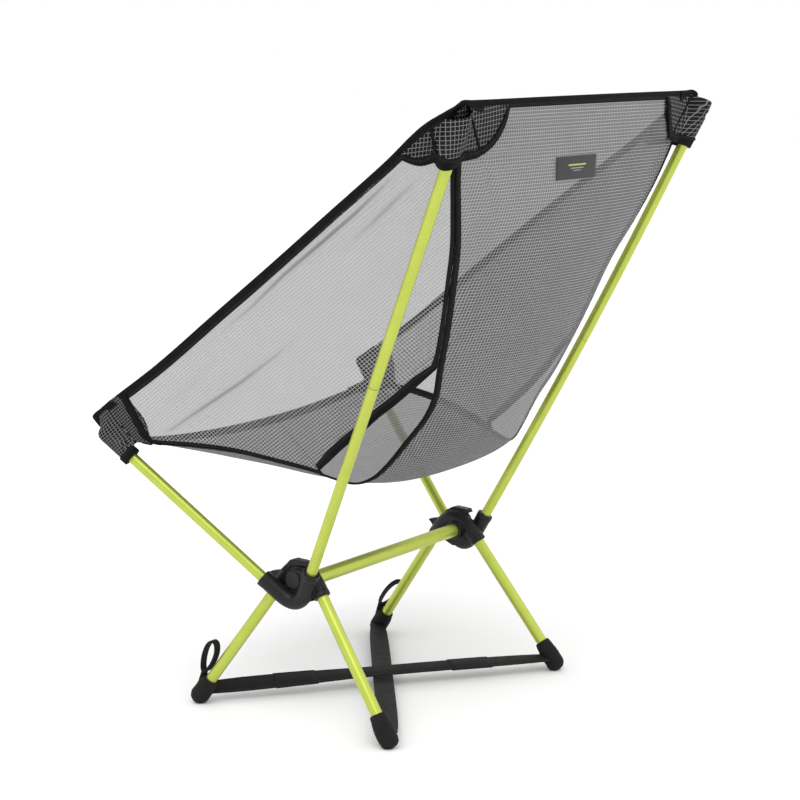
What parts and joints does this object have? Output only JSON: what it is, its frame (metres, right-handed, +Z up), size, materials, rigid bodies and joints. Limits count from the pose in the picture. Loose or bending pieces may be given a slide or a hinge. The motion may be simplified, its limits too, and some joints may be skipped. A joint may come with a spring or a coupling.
{
  "type": "ultralight backpacking chair",
  "caption": "Low camping chair with a pole frame that pulls apart from moulded hubs, a mesh bucket sling hung on the pole tips, and crossed ground straps.",
  "frame": {"origin": "middle of the footprint, on the floor", "axes": "+Z up, the chair faces -Y, the sitter's left is +X"},
  "size_m": [0.4672, 0.4612, 0.6361],
  "materials": {
    "anodised": "satin yellow-green anodised tube",
    "ferrule": "plain aluminium sleeve",
    "hub_plastic": "satin black moulded plastic",
    "plug_plastic": "black moulded plastic",
    "mesh": "open mesh of fine pale grey threads with a heavier square grid",
    "tape": "folded black binding tape",
    "corner_cloth": "black cloth under pale ripstop grid",
    "boot_cloth": "heavy black cloth",
    "webbing": "black flat webbing",
    "badge": "plain black woven badge",
    "shock_cord": "black elastic cord"
  },
  "bodies": {
    "root": {"crossbar": "anodised", "cord_crossbar": "shock_cord", "hub_left": "hub_plastic", "hub_right": "hub_plastic", "hub_cap_left": "hub_plastic", "hub_cap_right": "hub_plastic", "sling_panel": "mesh", "front_hem": "tape", "top_hem": "tape", "badge": "badge", "strap_over": "webbing", "strap_under": "webbing", "side_panel_left": "mesh", "arm_binding_left": "tape", "panel_binding_left": "tape", "side_binding_left": "tape", "side_panel_right": "mesh", "arm_binding_right": "tape", "panel_binding_right": "tape", "side_binding_right": "tape"},
    "front_pole_left": {"front_pole_left": "anodised", "front_pole_tip_left": "plug_plastic", "cord_front_pole_left": "shock_cord", "front_pocket_left": "corner_cloth"},
    "back_pole_lower_left": {"back_pole_lower_left": "anodised", "ferrule_left": "ferrule", "cord_back_pole_left": "shock_cord"},
    "back_pole_upper_left": {"back_pole_upper_left": "anodised", "back_pole_tip_left": "plug_plastic", "back_pocket_left": "corner_cloth"},
    "leg_front_left": {"leg_front_left": "anodised", "foot_plug_front_left": "plug_plastic", "cord_leg_front_left": "shock_cord", "boot_front_left": "boot_cloth"},
    "leg_rear_left": {"leg_rear_left": "anodised", "foot_plug_rear_left": "plug_plastic", "cord_leg_rear_left": "shock_cord", "boot_rear_left": "boot_cloth"},
    "pull_loop_left": {"pull_loop_left": "webbing"},
    "front_pole_right": {"front_pole_right": "anodised", "front_pole_tip_right": "plug_plastic", "cord_front_pole_right": "shock_cord", "front_pocket_right": "corner_cloth"},
    "back_pole_lower_right": {"back_pole_lower_right": "anodised", "ferrule_right": "ferrule", "cord_back_pole_right": "shock_cord"},
    "back_pole_upper_right": {"back_pole_upper_right": "anodised", "back_pole_tip_right": "plug_plastic", "back_pocket_right": "corner_cloth"},
    "leg_front_right": {"leg_front_right": "anodised", "foot_plug_front_right": "plug_plastic", "cord_leg_front_right": "shock_cord", "boot_front_right": "boot_cloth"},
    "leg_rear_right": {"leg_rear_right": "anodised", "foot_plug_rear_right": "plug_plastic", "cord_leg_rear_right": "shock_cord", "boot_rear_right": "boot_cloth"},
    "pull_loop_right": {"pull_loop_right": "webbing"}
  },
  "joints": [
    {"name": "front_pole_pull_left", "type": "slide", "parent": "root", "child": "front_pole_left", "axis": [0.2846, -0.7074, 0.647], "range_m": [0, 0.022], "stiffness_N_per_m": 320, "springref_m": -0.0375},
    {"name": "back_pole_pull_left", "type": "slide", "parent": "root", "child": "back_pole_lower_left", "axis": [0.1597, 0.4551, 0.876], "range_m": [0, 0.022], "stiffness_N_per_m": 320, "springref_m": -0.0375},
    {"name": "back_ferrule_pull_left", "type": "slide", "parent": "back_pole_lower_left", "child": "back_pole_upper_left", "axis": [0.1317, 0.4377, 0.8894], "range_m": [0, 0.026], "stiffness_N_per_m": 320, "springref_m": -0.0375},
    {"name": "front_leg_pull_left", "type": "slide", "parent": "root", "child": "leg_front_left", "axis": [0.1007, -0.5876, -0.8028], "range_m": [0, 0.017], "stiffness_N_per_m": 320, "springref_m": -0.0375},
    {"name": "rear_leg_pull_left", "type": "slide", "parent": "root", "child": "leg_rear_left", "axis": [0.0918, 0.5875, -0.804], "range_m": [0, 0.017], "stiffness_N_per_m": 320, "springref_m": -0.0375},
    {"name": "pull_loop_flop_left", "type": "hinge", "parent": "leg_front_left", "child": "pull_loop_left", "pos_m": [0.1556, -0.14676, 0.0348], "axis": [0, 0.9165, -0.4], "range_deg": [-45, 70], "stiffness_Nm_per_rad": 0.003},
    {"name": "front_pole_pull_right", "type": "slide", "parent": "root", "child": "front_pole_right", "axis": [-0.2846, -0.7074, 0.647], "range_m": [0, 0.022], "stiffness_N_per_m": 320, "springref_m": -0.0375},
    {"name": "back_pole_pull_right", "type": "slide", "parent": "root", "child": "back_pole_lower_right", "axis": [-0.1597, 0.4551, 0.876], "range_m": [0, 0.022], "stiffness_N_per_m": 320, "springref_m": -0.0375},
    {"name": "back_ferrule_pull_right", "type": "slide", "parent": "back_pole_lower_right", "child": "back_pole_upper_right", "axis": [-0.1317, 0.4377, 0.8894], "range_m": [0, 0.026], "stiffness_N_per_m": 320, "springref_m": -0.0375},
    {"name": "front_leg_pull_right", "type": "slide", "parent": "root", "child": "leg_front_right", "axis": [-0.1007, -0.5876, -0.8028], "range_m": [0, 0.017], "stiffness_N_per_m": 320, "springref_m": -0.0375},
    {"name": "rear_leg_pull_right", "type": "slide", "parent": "root", "child": "leg_rear_right", "axis": [-0.0918, 0.5875, -0.804], "range_m": [0, 0.017], "stiffness_N_per_m": 320, "springref_m": -0.0375},
    {"name": "pull_loop_flop_right", "type": "hinge", "parent": "leg_front_right", "child": "pull_loop_right", "pos_m": [-0.1556, -0.14676, 0.0348], "axis": [0, 0.9165, -0.4], "range_deg": [-25, 90], "stiffness_Nm_per_rad": 0.003}
  ]
}
